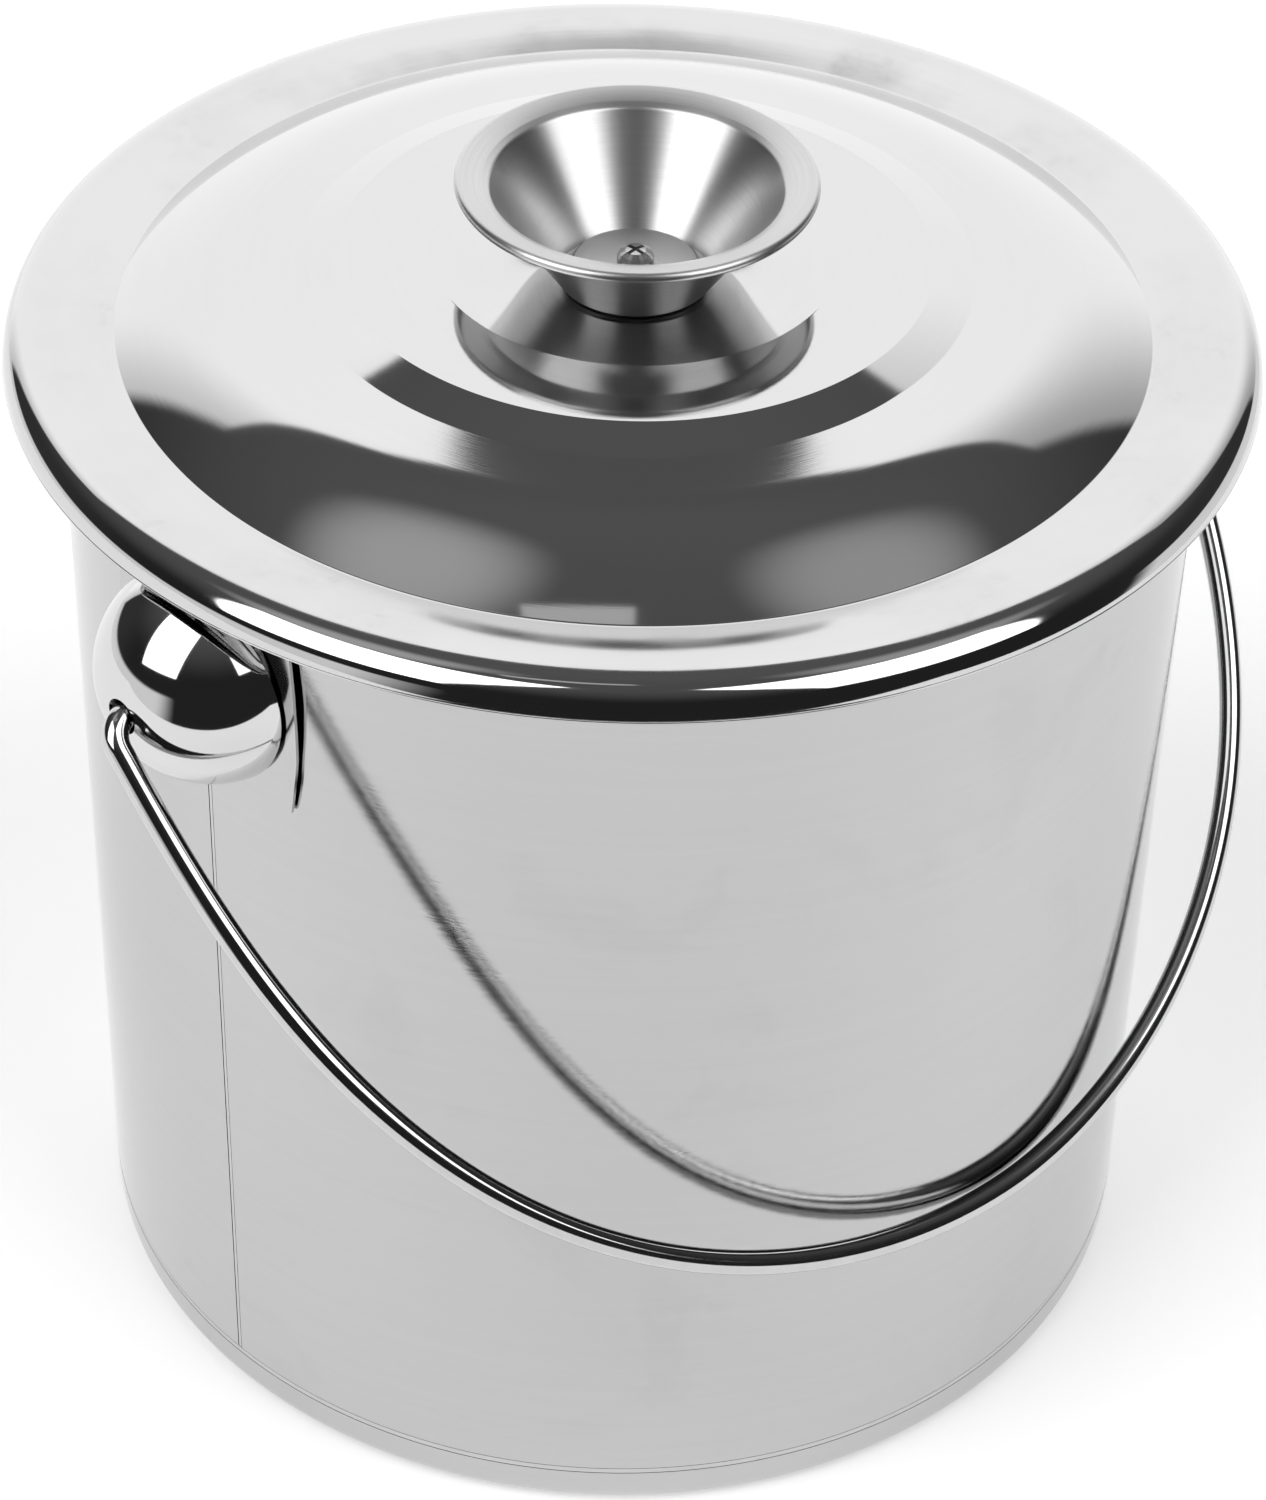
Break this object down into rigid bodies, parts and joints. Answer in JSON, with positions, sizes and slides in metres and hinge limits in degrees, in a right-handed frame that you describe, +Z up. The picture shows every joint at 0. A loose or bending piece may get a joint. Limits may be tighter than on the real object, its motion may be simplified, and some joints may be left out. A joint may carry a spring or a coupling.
{
  "type": "milk pail",
  "caption": "Round straight-sided steel milk pail with a loose domed lid, a cup-shaped knob, half-ball ears and a swinging wire bail.",
  "frame": {"origin": "middle of the base, on the surface the pail stands on", "axes": "+Z up along the pail's axis; X through the two ears, with the upright seam weld under the ear at -X; the bail rests against the -Y side"},
  "size_m": [0.2216, 0.1974, 0.2018],
  "materials": {
    "brushed": "satin stainless sheet with faint brushing round the wall",
    "weld": "ground weld bead",
    "polished": "mirror-polished stainless steel",
    "satin": "fine turned satin",
    "fastener": "bright machined steel"
  },
  "bodies": {
    "pail": {"wall_sheet": "brushed", "wall_seam_weld": "weld", "base_seam_weld": "weld", "base_pan": "brushed", "ear_plate_left": "brushed", "ear_plate_right": "brushed", "ear_ball_left": "polished", "ear_ball_right": "polished"},
    "bail": {"bail_handle": "polished"},
    "lid": {"lid_shell": "polished", "knob_cup": "satin", "knob_screw": "fastener", "knob_washer": "fastener", "knob_nut": "fastener"}
  },
  "joints": [
    {"name": "bail_swing", "type": "hinge", "parent": "pail", "child": "bail", "pos_m": [0, 0, 0.1542], "axis": [-1, 0, 0], "range_deg": [0, 274]},
    {"name": "lid_lift", "type": "slide", "parent": "pail", "child": "lid", "axis": [0, 0, 1], "range_m": [0, 0.13]}
  ]
}
